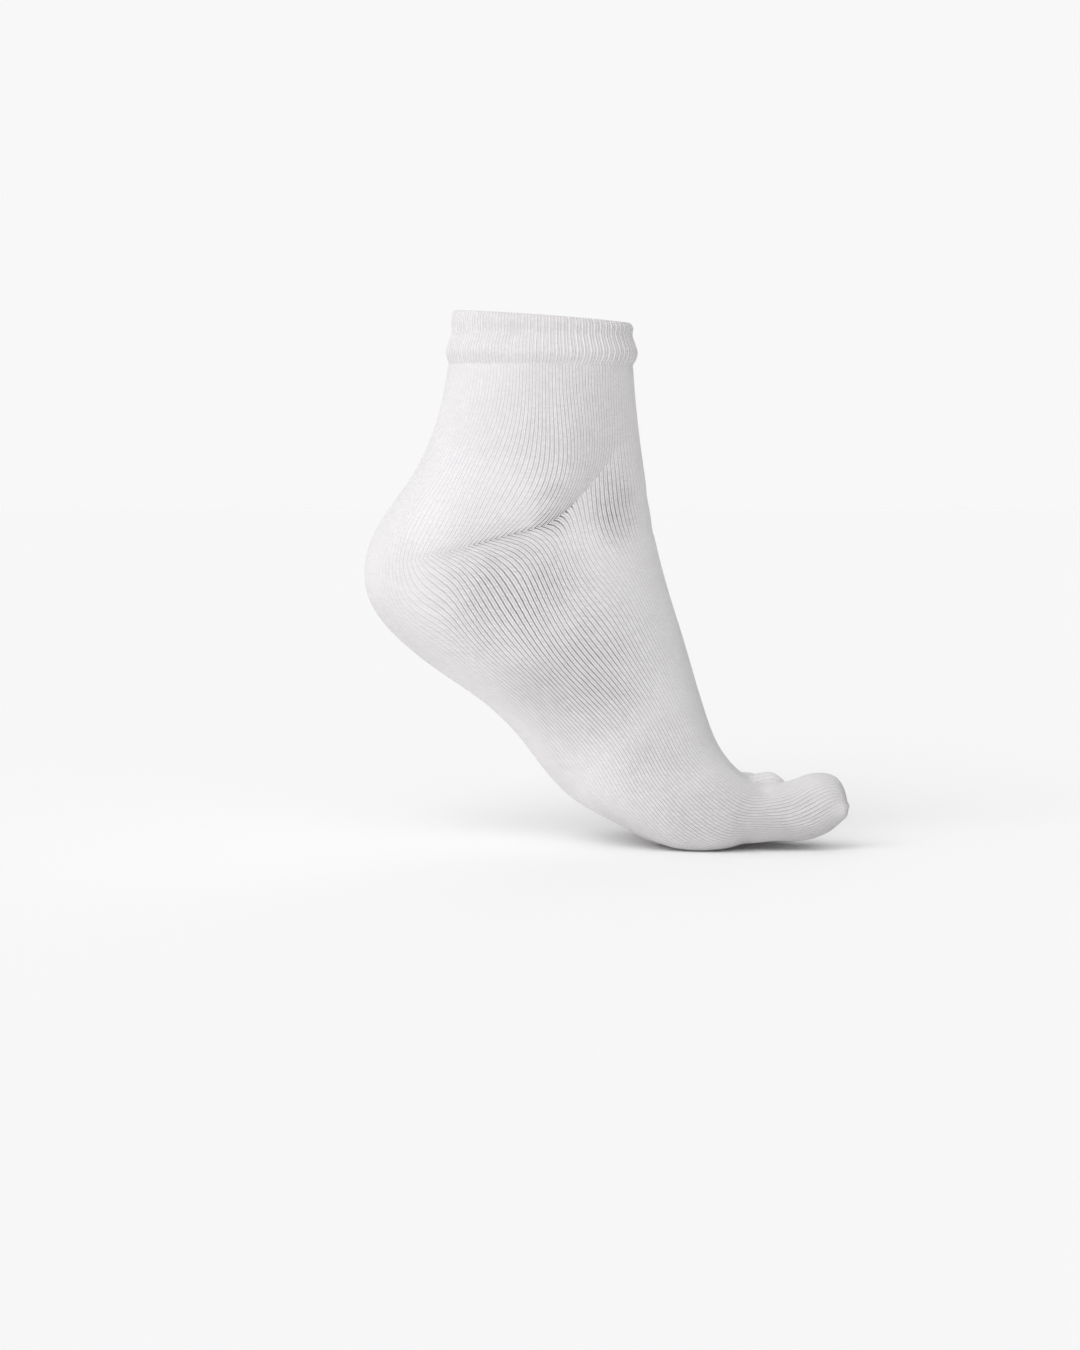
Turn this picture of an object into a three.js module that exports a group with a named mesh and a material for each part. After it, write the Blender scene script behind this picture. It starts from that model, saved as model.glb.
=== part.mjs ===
// One ankle-length toe sock for a left foot, worn on a raised heel: a knitted tube with a turned heel, a
// foot that widens to the ball, five separate toe sleeves, and a doubled, ribbed welt round the ankle
// opening. Millimetres, +Z up. The origin is the middle of the ankle opening. The toes point along +X, and
// the inner side of the foot, with the big toe, faces -Y. Every wall is hollow cloth, open only at the
// ankle.
import * as THREE from "three";

// Driving dimensions
const FLOOR_Z = -225.5; // what the ball of the foot stands on
const CLOTH = 1.6; // wall of the worn knit
const WELT = 2.6; // wall of the doubled welt
const SEAM_GAP = 0.38; // left between two pieces that are joined
const RIBS = 120; // ribs round the welt
const RIB_HEIGHT = 0.5; // from the valley to the ridge of a rib
const RINGS_PER_SECTION = 2; // rings made between two rows of the body's table
const TOE_CLEARANCE = 1.0; // between two neighbouring toe sleeves

const KNIT = { color: 0xecebed, roughness: 0.92, metalness: 0 };

// A table as a list of rows, each with its columns by name.
function table(columns, ...rows) {
  return rows.map((row) => Object.fromEntries(columns.map((name, k) => [name, row[k]])));
}

// Sections of the leg and foot, from the welt down. Each is a closed curve through its back (or sole) point
// and its front (or instep) point. medial and lateral are its half widths, round its squareness (2 is an
// ellipse), skew how far its inner side lies ahead, droop how much lower its outer side is on top, and arch
// how far the sole is hollowed on the inner side, as a share of the section's depth (less than 0 where it
// bulges).
const BODY = table(
  ["at", "backX", "backZ", "frontX", "frontZ", "medial", "lateral", "round", "skew", "droop", "arch"],
  ["welt", -40.4, -20.9, 38.8, -21.3, 29.6, 29.6, 2.05, 0, 0, 0],
  ["leg", -42.0, -31.0, 39.4, -31.0, 30.2, 30.2, 2.05, 0, 0, 0],
  ["lower leg", -45.7, -46.0, 40.8, -45.0, 31.2, 31.2, 2.05, 0, 0, 0],
  ["above ankle", -53.5, -64.5, 42.6, -59.0, 32.8, 32.6, 2.05, 0, 0, 0],
  ["ankle", -63.4, -78.5, 44.2, -69.5, 33.8, 33.6, 2.05, 0, 0, 0],
  ["top of heel", -72.6, -92.5, 45.6, -80.0, 33.8, 33.6, 2.1, 0, 0, 0],
  ["heel turn", -77.0, -109.0, 47.6, -91.0, 33.2, 33.2, 2.15, 0, 0, 0],
  ["heel", -73.2, -125.0, 50.4, -103.5, 32.8, 33.2, 2.2, 0.5, 0, 0.02],
  ["front of heel", -60.2, -140.0, 54.2, -117.5, 33.0, 34.0, 2.2, 1, 0, 0.05],
  ["hollow of foot", -43.6, -153.0, 58.6, -131.5, 34.0, 35.4, 2.2, 1.5, 0.03, 0.12],
  ["instep", -25.0, -165.6, 62.6, -145.0, 35.0, 37.4, 2.25, 2, 0.06, 0.18],
  ["middle of foot", -10.0, -180.2, 66.0, -157.4, 36.6, 40.0, 2.35, 2.5, 0.09, 0.18],
  ["behind ball", 1.8, -196.0, 69.2, -168.2, 38.6, 43.0, 2.45, 3, 0.12, 0.12],
  ["back of ball", 15.0, -208.8, 72.0, -176.6, 40.8, 45.2, 2.5, 3, 0.15, 0.02],
  ["ball", 31.4, -215.2, 75.2, -183.6, 42.6, 46.0, 2.55, 3.5, 0.18, -0.1],
  ["ball middle", 46.6, -223.2, 79.0, -189.4, 43.2, 46.4, 2.65, 5.5, 0.2, -0.18],
  ["front of ball", 60.5, -229.6, 82.6, -193.2, 42.4, 45.2, 2.5, 9, 0.2, -0.08],
  ["toe roots", 73.5, -225.2, 85.6, -194.8, 40.0, 42.4, 2.3, 13, 0.2, 0.03],
);
const SCALLOP_START = 3.5; // rows before the toe roots where the valleys between the toes begin
const VALLEY_TOP = 5.0; // depth of a valley between two toes on the instep side
const VALLEY_SOLE = 5.5; // and on the sole side

// The welt's outer face, from its joint with the leg up to its rim: a groove, a rolled bulge, a waist and
// the fold.
const WELT_FACE = table(
  ["at", "backX", "backZ", "frontX", "frontZ", "half", "rib"],
  ["joint", -40.4, -20.77, 38.8, -21.17, 29.6, 0.4],
  ["under bulge", -41.2, -18.4, 39.9, -18.9, 30.5, 0.7],
  ["bulge", -41.6, -15.6, 40.6, -15.9, 31.0, 1],
  ["over bulge", -40.7, -11.6, 39.7, -12.0, 30.1, 1],
  ["waist", -39.4, -6.6, 38.7, -8.2, 28.9, 1],
  ["upper band", -38.8, -0.6, 38.6, -5.0, 28.7, 1],
  ["fold", -37.4, 2.0, 37.4, -3.4, 27.5, 0.5],
);
const WELT_ROUND = 2.05;
const WELT_INSIDE_ROWS = [6, 4, 2, 0]; // rows of the outer face that the plain inside follows

// Toe sleeves from the big toe outwards. segments is how many of the foot's segments run onto the toe,
// above and below. length is from root to tip, half the half width, crest the height of its back above the
// floor at its highest, crestAt the share of the length where that is, and end how high the back still is
// where the tip starts to close. lift is the height of its underside, hollow how much higher that is behind
// the pad, and tip the height of its tip.
const TOES = table(
  ["name", "segments", "length", "half", "crest", "crestAt", "end", "lift", "hollow", "tip"],
  ["toe_big", 8, 40.0, 13.4, 33.0, 0.66, 32.6, 2.4, 1.6, 18.6],
  ["toe_second", 4, 36.5, 8.6, 33.4, 0.2, 19.0, 0.8, 5.0, 9.0],
  ["toe_third", 4, 32.0, 8.2, 30.0, 0.22, 17.5, 0.7, 5.0, 8.5],
  ["toe_fourth", 4, 28.0, 7.8, 27.0, 0.24, 16.5, 0.7, 4.5, 8.0],
  ["toe_little", 6, 23.0, 8.0, 24.0, 0.26, 15.5, 0.7, 4.0, 7.5],
);
// How far each line beside a toe runs towards +Y over 40 mm: the foot's inner side, the four gaps and its
// outer side.
const TOE_LINES = [4.5, 1.0, -0.5, -2.0, -4.0, -7.5];
// Where the back, the underside and the sides of a toe start to close, as shares of its length.
const CLOSING = { back: 0.8, under: 0.34, sides: 0.58 };
const HOLLOW = { at: 0.3, width: 0.17 }; // where the underside is hollowed, as shares of a toe's length
const BIG_TOE_DIP = { at: 0.3, width: 0.15, depth: 1.2 }; // the bend at the big toe's joint
const BRIDGE = 3; // segments across the web between two toes, from top to bottom
const TOE_ROOT = 3.6; // how far ahead of the webs a toe sleeve's first ring, its joint with the foot, lies
const TOE_ROUND = 2.3; // squareness of a toe's section
// Rings along a toe, as shares of its length.
const TOE_STATIONS = [0.26, 0.4, 0.56, 0.7, 0.82, 0.91, 0.965, 0.99];

const HALF = TOES.reduce((sum, toe) => sum + toe.segments, 0); // segments over the instep, and below
const AROUND = 2 * HALF;

// Smooth value between the rows of a table: a Catmull-Rom curve through each column.
function between(rows, column, place) {
  const last = rows.length - 1;
  const i = Math.min(Math.floor(place), last - 1);
  const t = place - i;
  const value = (k) => rows[Math.min(Math.max(k, 0), last)][column];
  const [a, b, c, d] = [value(i - 1), value(i), value(i + 1), value(i + 2)];
  return b + 0.5 * t * (c - a + t * (2 * a - 5 * b + 4 * c - d + t * (3 * (b - c) + d - a)));
}

const power = (value, exponent) => Math.sign(value) * Math.abs(value) ** exponent;

// A point of a section at an angle: 0 is the inner side, a quarter turn the front, half a turn the outer
// side.
function sectionPoint(s, angle) {
  const forward = power(Math.sin(angle), 2 / s.round);
  const outward = power(-Math.cos(angle), 2 / s.round);
  const lowered = forward > 0 ? forward * (1 - s.droop * Math.max(0, outward)) : forward;
  const hollow = s.arch * Math.max(0, -forward) * Math.max(0, -outward) * 2;
  const depth = lowered + hollow;
  const x = (s.frontX + s.backX) / 2 + ((s.frontX - s.backX) / 2) * depth - s.skew * outward;
  const z = (s.frontZ + s.backZ) / 2 + ((s.frontZ - s.backZ) / 2) * depth;
  return new THREE.Vector3(x, outward * (outward > 0 ? s.lateral : s.medial), z);
}

// count points spaced evenly along half of a section, from one angle to the next, without the last.
function evenly(s, from, to, count) {
  const fine = Array.from({ length: 241 }, (_, i) => sectionPoint(s, from + ((to - from) * i) / 240));
  const along = [0];
  fine.slice(1).forEach((p, i) => along.push(along[i] + p.distanceTo(fine[i])));
  const points = [];
  for (let k = 0, i = 0; k < count; k += 1) {
    const wanted = (along[240] * k) / count;
    while (along[i + 1] < wanted) i += 1;
    points.push(fine[i].clone().lerp(fine[i + 1], (wanted - along[i]) / (along[i + 1] - along[i])));
  }
  return points;
}

const ringOf = (s, half) => [...evenly(s, 0, Math.PI, half), ...evenly(s, Math.PI, 2 * Math.PI, half)];

// Where the webs between the toes lie, counted in segments from the inner side.
const segmentsUpTo = (i) => TOES.slice(0, i + 1).reduce((sum, toe) => sum + toe.segments, 0);
const WEBS = TOES.slice(0, -1).map((_, i) => segmentsUpTo(i));

// How deep in a valley between two toes a point is, from 0 to 1. Points above and below the foot mirror
// each other.
function valley(index) {
  const fromInnerSide = index <= HALF ? index : AROUND - index;
  const nearest = Math.min(...WEBS.map((web) => Math.abs(web - fromInnerSide)));
  return nearest < 2 ? Math.cos((Math.PI * nearest) / 4) ** 2 : 0;
}

function bodySection(place) {
  const columns = Object.keys(BODY[0]).filter((column) => column !== "at");
  return Object.fromEntries(columns.map((column) => [column, between(BODY, column, place)]));
}

function bodyRing(place) {
  const lastRow = BODY.length - 1;
  const grown = THREE.MathUtils.smoothstep(place, lastRow - SCALLOP_START, lastRow);
  return ringOf(bodySection(place), HALF).map((p, i) => {
    p.z += valley(i) * grown * (i < HALF ? -VALLEY_TOP : VALLEY_SOLE);
    p.z = Math.max(p.z, FLOOR_Z);
    return p;
  });
}

// The outer skin: one list of points, and four-cornered faces each with the name of its piece.
const skin = { points: [], faces: [] };
const addPoint = (p) => skin.points.push(p) - 1;

// Faces between two rings of the same count, both given as point numbers, running the same way round.
function band(piece, upper, lower) {
  upper.forEach((a, i) => {
    const j = (i + 1) % upper.length;
    skin.faces.push({ piece, corners: [a, lower[i], lower[j], upper[j]] });
  });
}

function makeBody() {
  const steps = (BODY.length - 1) * RINGS_PER_SECTION;
  let previous = null;
  for (let step = 0; step <= steps; step += 1) {
    const ring = bodyRing(step / RINGS_PER_SECTION).map(addPoint);
    if (previous) band("leg_and_foot", previous, ring);
    previous = ring;
  }
  return previous;
}

// The line of points down each web, from the instep side to the sole side, without its two ends.
function makeBridges(front) {
  return WEBS.map((web) => {
    const top = skin.points[front[web]];
    const sole = skin.points[front[AROUND - web]];
    return Array.from({ length: BRIDGE - 1 }, (_, k) => addPoint(top.clone().lerp(sole, (k + 1) / BRIDGE)));
  });
}

// The ring of points where toe number t leaves the foot: along the instep, down one web, back under the
// sole and up the other web. Each point has the angle it takes on the toe: 0 is the inner side, a quarter
// turn the top.
function toeRoot(t, front, bridges) {
  const first = t ? WEBS[t - 1] : 0;
  const last = first + TOES[t].segments;
  const ring = [];
  const webTurn = Math.PI * 0.19; // how far a web's ends lie above and below the middle of the toe
  const start = t ? webTurn : 0;
  const end = t < TOES.length - 1 ? Math.PI - webTurn : Math.PI;
  const angleAt = (i) => start + ((end - start) * (i - first)) / (last - first);
  for (let i = first; i <= last; i += 1) ring.push({ point: front[i], angle: angleAt(i) });
  if (t < TOES.length - 1)
    bridges[t].forEach((point, k) =>
      ring.push({ point, angle: end + (2 * webTurn * (k + 1)) / BRIDGE }),
    );
  const soleFrom = t < TOES.length - 1 ? last : last - 1; // the outermost point is on top and below at once
  const soleTo = t ? first : first + 1;
  for (let i = soleFrom; i >= soleTo; i -= 1)
    ring.push({ point: front[AROUND - i], angle: 2 * Math.PI - angleAt(i) });
  if (t)
    [...bridges[t - 1]].reverse().forEach((point, k) =>
      ring.push({ point, angle: 2 * Math.PI - start + (2 * webTurn * (k + 1)) / BRIDGE }),
    );
  return ring;
}

// A soft bump, 1 at its middle.
const bump = (share, { at, width }) => Math.exp(-(((share - at) / width) ** 2));

// How much of its full size a toe still has at a share of its length, when it starts to close at another
// share.
const closing = (share, start) => Math.sqrt(1 - (Math.max(0, share - start) / (1 - start)) ** 2);

// The middle, half width, top and underside of a toe at a share of its length. root holds the same at the
// root, and the two lines that the toe lies between.
function toeSection(toe, root, share) {
  const ahead = toe.length * share;
  const [innerSide, outerSide] = [0, 1].map((k) => root.sides[k] + (root.lines[k] * ahead) / 40);
  const room = (outerSide - innerSide - TOE_CLEARANCE) / 2;
  const ease = THREE.MathUtils.smoothstep(share, 0, 0.35);
  const rise = THREE.MathUtils.smoothstep(share, 0, toe.crestAt);
  const fall = THREE.MathUtils.clamp((share - toe.crestAt) / (CLOSING.back - toe.crestAt), 0, 1.2);
  const dip = toe.name === "toe_big" ? BIG_TOE_DIP.depth * bump(share, BIG_TOE_DIP) : 0;
  const raised = THREE.MathUtils.lerp(root.top - FLOOR_Z, toe.crest, rise);
  const back = raised - (toe.crest - toe.end) * fall ** 1.4 - dip;
  const under = THREE.MathUtils.lerp(root.under - FLOOR_Z, toe.lift, ease) + toe.hollow * bump(share, HOLLOW);
  return {
    x: root.x + ahead,
    y: (innerSide + outerSide) / 2,
    half: Math.min(room, THREE.MathUtils.lerp(room, toe.half, ease)) * closing(share, CLOSING.sides),
    top: FLOOR_Z + toe.tip + (back - toe.tip) * closing(share, CLOSING.back),
    under: FLOOR_Z + toe.tip + (under - toe.tip) * closing(share, CLOSING.under),
  };
}

function toePoint(s, angle) {
  const up = power(Math.sin(angle), 2 / TOE_ROUND);
  const out = power(-Math.cos(angle), 2 / TOE_ROUND);
  const height = (s.top + s.under) / 2 + ((s.top - s.under) / 2) * up;
  return new THREE.Vector3(s.x, s.y + s.half * out, Math.max(height, FLOOR_Z));
}

function makeToe(t, front, bridges) {
  const toe = TOES[t];
  const ring = toeRoot(t, front, bridges);
  const at = ring.map(({ point }) => skin.points[point]);
  const mean = (values) => values.reduce((sum, v) => sum + v, 0) / values.length;
  const [ys, zs] = [at.map((p) => p.y), at.map((p) => p.z)];
  const webY = (web) => (skin.points[front[web]].y + skin.points[front[AROUND - web]].y) / 2;
  const innerY = t ? webY(WEBS[t - 1]) : Math.min(...ys);
  const outerY = t < TOES.length - 1 ? webY(WEBS[t]) : Math.max(...ys);
  const root = {
    x: mean(at.map((p) => p.x)),
    sides: [innerY, outerY],
    lines: [TOE_LINES[t], TOE_LINES[t + 1]],
    top: Math.max(...zs),
    under: Math.min(...zs),
  };
  const slant = at.map((p) => p.x - root.x); // the root isn't square across the toe
  let previous = ring.map(({ point }) => point);
  [TOE_ROOT / toe.length, ...TOE_STATIONS].forEach((share, k) => {
    const s = toeSection(toe, root, share);
    const keepSlant = 1 - THREE.MathUtils.smoothstep(share, 0.1, 0.8);
    const keep = Math.max(0, 1 - share / 0.5) ** 1.5;
    const next = ring.map(({ point, angle }, i) => {
      const p = toePoint(s, angle);
      const from = skin.points[point];
      p.x += slant[i] * keepSlant;
      p.y = THREE.MathUtils.lerp(p.y, from.y, keep * 0.25);
      p.z = THREE.MathUtils.lerp(p.z, from.z, keep * 0.7);
      return addPoint(p);
    });
    band(k ? toe.name : "leg_and_foot", previous, next);
    previous = next;
  });
  const end = toeSection(toe, root, 1);
  const tip = addPoint(new THREE.Vector3(end.x, end.y, (end.top + end.under) / 2));
  previous.forEach((a, i) => {
    const b = previous[(i + 1) % previous.length];
    skin.faces.push({ piece: toe.name, corners: [a, tip, b] });
  });
}

// Each face as triangles.
const trianglesOf = ({ corners: [a, b, c, d] }) => (d === undefined ? [[a, b, c]] : [[a, b, c], [a, c, d]]);

function outwardNormals() {
  const geometry = new THREE.BufferGeometry().setFromPoints(skin.points);
  geometry.setIndex(skin.faces.flatMap(trianglesOf).flat());
  geometry.computeVertexNormals();
  const normals = geometry.getAttribute("normal");
  return skin.points.map((_, i) => new THREE.Vector3().fromBufferAttribute(normals, i));
}

// A closed cloth wall for one piece: its outer faces, the same faces moved in by the cloth, and a strip
// that joins them round every open edge. Edges are drawn back by half the seam gap, so that neighbouring
// pieces stay apart.
function wallOf(piece, normals) {
  const triangles = skin.faces.filter((face) => face.piece === piece).flatMap(trianglesOf);
  const edges = new Map();
  triangles.forEach(([a, b, c]) => {
    for (const edge of [[a, b], [b, c], [c, a]]) edges.set(edge.join(" "), edge);
  });
  const open = [...edges.values()].filter(([p, q]) => !edges.has(`${q} ${p}`));
  const tangents = new Map(open.flat().map((p) => [p, new THREE.Vector3()]));
  open.forEach(([p, q]) => {
    const along = skin.points[q].clone().sub(skin.points[p]).normalize();
    tangents.get(p).add(along);
    tangents.get(q).add(along);
  });
  const used = [...new Set(triangles.flat())];
  const number = new Map(used.map((p, i) => [p, i]));
  const outer = used.map((p) => {
    const at = skin.points[p].clone();
    if (!tangents.has(p)) return at;
    const drawnBack = normals[p].clone().cross(tangents.get(p)).normalize();
    return at.addScaledVector(drawnBack, SEAM_GAP / 2);
  });
  const inner = used.map((p, i) => outer[i].clone().addScaledVector(normals[p], -CLOTH));
  const n = used.length;
  const index = [];
  triangles.forEach(([a, b, c]) => {
    const [i, j, k] = [number.get(a), number.get(b), number.get(c)];
    index.push(i, j, k, n + i, n + k, n + j);
  });
  open.forEach(([p, q]) => {
    const [i, j] = [number.get(p), number.get(q)];
    // both pieces at a joint split this face along the same diagonal, so that they can't cross
    if (p < q) index.push(j, i, n + i, j, n + i, n + j);
    else index.push(j, i, n + j, i, n + i, n + j);
  });
  return new THREE.BufferGeometry().setFromPoints([...outer, ...inner]).setIndex(index);
}

// The welt: its ribbed outer face, the fold at its rim and its plain inside, as one ring closed both ways.
function weltGeometry() {
  const section = (row, inwards) => ({
    backX: row.backX + inwards,
    backZ: row.backZ,
    frontX: row.frontX - inwards,
    frontZ: row.frontZ,
    medial: row.half - inwards,
    lateral: row.half - inwards,
    round: WELT_ROUND,
    skew: 0,
    droop: 0,
    arch: 0,
  });
  const outside = WELT_FACE.map((row) =>
    ringOf(section(row, 0), RIBS).map((p, i) => {
      const middle = new THREE.Vector3((row.backX + row.frontX) / 2, 0, p.z);
      const out = p.clone().sub(middle).normalize();
      return p.addScaledVector(out, (i % 2 ? -0.5 : 0.5) * RIB_HEIGHT * row.rib);
    }),
  );
  const inside = WELT_INSIDE_ROWS.map((k) => ringOf(section(WELT_FACE[k], WELT), RIBS));
  const rings = [...outside, ...inside];
  const count = 2 * RIBS;
  const index = [];
  rings.forEach((_, r) => {
    const next = (r + 1) % rings.length;
    for (let i = 0; i < count; i += 1) {
      const j = (i + 1) % count;
      const [a, b, c, d] = [r * count + i, next * count + i, next * count + j, r * count + j];
      index.push(a, c, b, a, d, c);
    }
  });
  return new THREE.BufferGeometry().setFromPoints(rings.flat()).setIndex(index);
}

function meshOf(name, geometry) {
  geometry.computeVertexNormals();
  const mesh = new THREE.Mesh(geometry, new THREE.MeshStandardMaterial(KNIT));
  mesh.name = name;
  return mesh;
}

const front = makeBody();
const bridges = makeBridges(front);
TOES.forEach((_, t) => makeToe(t, front, bridges));
const normals = outwardNormals();
// A web faces straight ahead, and so do its two ends, apart from their slope.
bridges.flat().forEach((point) => normals[point].set(1, 0, 0));
WEBS.flatMap((web) => [front[web], front[AROUND - web]]).forEach((point) => {
  normals[point].setY(0).normalize().add(new THREE.Vector3(0.6, 0, 0)).normalize();
});

const sock = new THREE.Group();
sock.name = "toe_sock";
sock.add(meshOf("welt", weltGeometry()));
for (const piece of ["leg_and_foot", ...TOES.map((toe) => toe.name)]) {
  sock.add(meshOf(piece, wallOf(piece, normals)));
}

export default sock;
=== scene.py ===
"""Looks of a worn toe sock: one knitted skin over the leg, foot and toes, the ribbed welt, the heel's
joining line, the seams at the toe tips, a pale floor, soft light and a camera. Tables are in millimetres,
in the part's frame: the origin is the middle of the ankle opening, +X runs to the toes, +Z up, and the
inner side of the foot faces -Y."""

import math

import bpy
import numpy as np
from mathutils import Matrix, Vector


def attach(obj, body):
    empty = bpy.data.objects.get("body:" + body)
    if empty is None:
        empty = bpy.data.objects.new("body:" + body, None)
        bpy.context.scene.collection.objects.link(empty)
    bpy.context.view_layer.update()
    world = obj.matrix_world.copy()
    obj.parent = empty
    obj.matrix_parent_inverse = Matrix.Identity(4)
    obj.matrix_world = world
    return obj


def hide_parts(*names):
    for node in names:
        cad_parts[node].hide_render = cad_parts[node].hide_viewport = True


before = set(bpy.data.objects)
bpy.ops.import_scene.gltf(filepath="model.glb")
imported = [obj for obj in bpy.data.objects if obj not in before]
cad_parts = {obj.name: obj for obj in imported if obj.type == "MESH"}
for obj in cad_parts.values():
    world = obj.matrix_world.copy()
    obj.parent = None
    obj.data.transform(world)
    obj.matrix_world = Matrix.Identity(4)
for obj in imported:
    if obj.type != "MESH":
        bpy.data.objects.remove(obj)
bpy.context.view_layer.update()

MM = 0.001  # a millimetre in metres
METRE = 1000  # a metre in millimetres

# Driving dimensions
FLOOR_Z = -225.5  # what the ball of the foot stands on
CLOTH = 1.0  # thickness of the knit that is shown
WELT = 2.2  # thickness of the doubled welt
WALES_PER_SEGMENT = 2.75  # columns of stitches to one segment of a section
WALES_PER_WEB = 9  # columns of stitches down the web between two toes
COURSE = 0.9  # height of a row of stitches
RINGS_PER_SECTION = 2  # rings made between two rows of the body's table
TUCK_UP, TUCK_IN = 1.8, 0.975  # the leg's edge runs up inside the welt, drawn in by this factor
FINER = 2  # times each face is split in four and smoothed
RIBS = 152  # ribs round the welt, every second one lower
RIB_HEIGHT = 0.38  # from the valley to the ridge of a rib
RIB_LOWER = 0.55  # height of the lower ribs, as a share of the others
RIB_POWER = 0.8  # power of the sine that gives a rib's profile, below 1 for a full one
RIB_SUNK = 0.6  # share of a rib's height that lies inside the welt's table
STEPS_PER_RIB = 6
WELT_RINGS_PER_ROW = 4
WELT_ROUND = 2.05  # roundness of the welt's sections, 2 for an ellipse
WELT_OPEN = 0.25  # how far the welt's knit is stretched open
WELT_STEP_IN = 0.2  # way in or out from one ring of the welt to the next
WELT_STEP_ROUND = 1  # way from its last ring back to its first
WELT_WALE = 0.5  # where in a wale a rib's valley lies
TOE_CLEARANCE = 1.0  # between two neighbouring toe sleeves
TOE_ROOT = 3.6  # how far ahead of the webs a toe sleeve starts
TOE_ROUND = 2.3  # roundness of a toe's section, 2 for an ellipse
ARC_SAMPLES = 241  # points that measure the way along half of a section

# Sections of the leg and foot, from the welt down, each through its back or sole point and its front point.
BODY_PLACES = ("back_x", "back_z", "front_x", "front_z")
BODY_COLUMNS = (*BODY_PLACES, "medial", "lateral", "round", "skew", "droop", "arch")
BODY = {
    "welt": (-40.4, -20.9, 38.8, -21.3, 29.6, 29.6, 2.05, 0, 0, 0),
    "leg": (-42.0, -31.0, 39.4, -31.0, 30.2, 30.2, 2.05, 0, 0, 0),
    "lower leg": (-45.7, -46.0, 40.8, -45.0, 31.2, 31.2, 2.05, 0, 0, 0),
    "above ankle": (-53.5, -64.5, 42.6, -59.0, 32.8, 32.6, 2.05, 0, 0, 0),
    "ankle": (-63.4, -78.5, 44.2, -69.5, 33.8, 33.6, 2.05, 0, 0, 0),
    "top of heel": (-72.6, -92.5, 45.6, -80.0, 33.8, 33.6, 2.1, 0, 0, 0),
    "heel turn": (-77.0, -109.0, 47.6, -91.0, 33.2, 33.2, 2.15, 0, 0, 0),
    "heel": (-73.2, -125.0, 50.4, -103.5, 32.8, 33.2, 2.2, 0.5, 0, 0.02),
    "front of heel": (-60.2, -140.0, 54.2, -117.5, 33.0, 34.0, 2.2, 1, 0, 0.05),
    "hollow of foot": (-43.6, -153.0, 58.6, -131.5, 34.0, 35.4, 2.2, 1.5, 0.03, 0.12),
    "instep": (-25.0, -165.6, 62.6, -145.0, 35.0, 37.4, 2.25, 2, 0.06, 0.18),
    "middle of foot": (-10.0, -180.2, 66.0, -157.4, 36.6, 40.0, 2.35, 2.5, 0.09, 0.18),
    "behind ball": (1.8, -196.0, 69.2, -168.2, 38.6, 43.0, 2.45, 3, 0.12, 0.12),
    "back of ball": (15.0, -208.8, 72.0, -176.6, 40.8, 45.2, 2.5, 3, 0.15, 0.02),
    "ball": (31.4, -215.2, 75.2, -183.6, 42.6, 46.0, 2.55, 3.5, 0.18, -0.1),
    "ball middle": (46.6, -223.2, 79.0, -189.4, 43.2, 46.4, 2.65, 5.5, 0.2, -0.18),
    "front of ball": (60.5, -229.6, 82.6, -193.2, 42.4, 45.2, 2.5, 9, 0.2, -0.08),
    "toe roots": (73.5, -225.2, 85.6, -194.8, 40.0, 42.4, 2.3, 13, 0.2, 0.03),
}
SCALLOP_START = 3.5  # rows before the toe roots where the valleys between the toes begin
VALLEY_TOP = 5.0  # depth of a valley between two toes on the instep side
VALLEY_SOLE = 5.5  # and on the sole side
VALLEY_REACH = 2  # segments from a web to the edge of its valley

# Toe sleeves from the big toe outwards: heights are above the floor, crest_at is a share of the length.
TOE_COLUMNS = ("segments", "length", "half", "crest", "crest_at", "end", "lift", "hollow", "tip")
TOES = {
    "toe_big": (8, 40.0, 13.4, 33.0, 0.66, 32.6, 2.4, 1.6, 18.6),
    "toe_second": (4, 36.5, 8.6, 33.4, 0.2, 19.0, 0.8, 5.0, 9.0),
    "toe_third": (4, 32.0, 8.2, 30.0, 0.22, 17.5, 0.7, 5.0, 8.5),
    "toe_fourth": (4, 28.0, 7.8, 27.0, 0.24, 16.5, 0.7, 4.5, 8.0),
    "toe_little": (6, 23.0, 8.0, 24.0, 0.26, 15.5, 0.7, 4.0, 7.5),
}
TOE_LINES = (4.5, 1.0, -0.5, -2.0, -4.0, -7.5)  # how far each line beside a toe goes towards +Y
TOE_LINE_RUN = 40  # over this length
BRIDGE = 3  # segments across a web, from top to bottom
WEB_TURN = math.pi * 0.19  # how far round a toe a web reaches, above and below the middle of its side

# A toe's form, at shares of its length.
TOE_STATIONS = (0.26, 0.4, 0.56, 0.7, 0.82, 0.91, 0.965, 0.99)  # where its rings are
CLOSE_BACK, CLOSE_UNDER, CLOSE_SIDES = 0.8, 0.34, 0.58  # where its faces start to close to the tip
TOE_EASE = 0.35  # where it has its own width and underside
FALL_POWER, FALL_MOST = 1.4, 1.2  # the curve from its crest down to its end, and how far that goes on
DIP_DEPTH, DIP_AT, DIP_REACH = 1.2, 0.3, 0.15  # the dip behind the big toe's crest
HOLLOW_AT, HOLLOW_REACH = 0.3, 0.17  # the hollow underneath
SLANT_FULL, SLANT_GONE = 0.1, 0.8  # between these its rings lose the slant of its root
ROOT_GONE = 0.5  # where nothing more is kept of the root's outline
ROOT_POWER = 1.5  # how fast that goes
ROOT_WIDTH, ROOT_HEIGHT = 0.25, 0.7  # how much is kept of it at the root, sideways and in height

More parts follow.
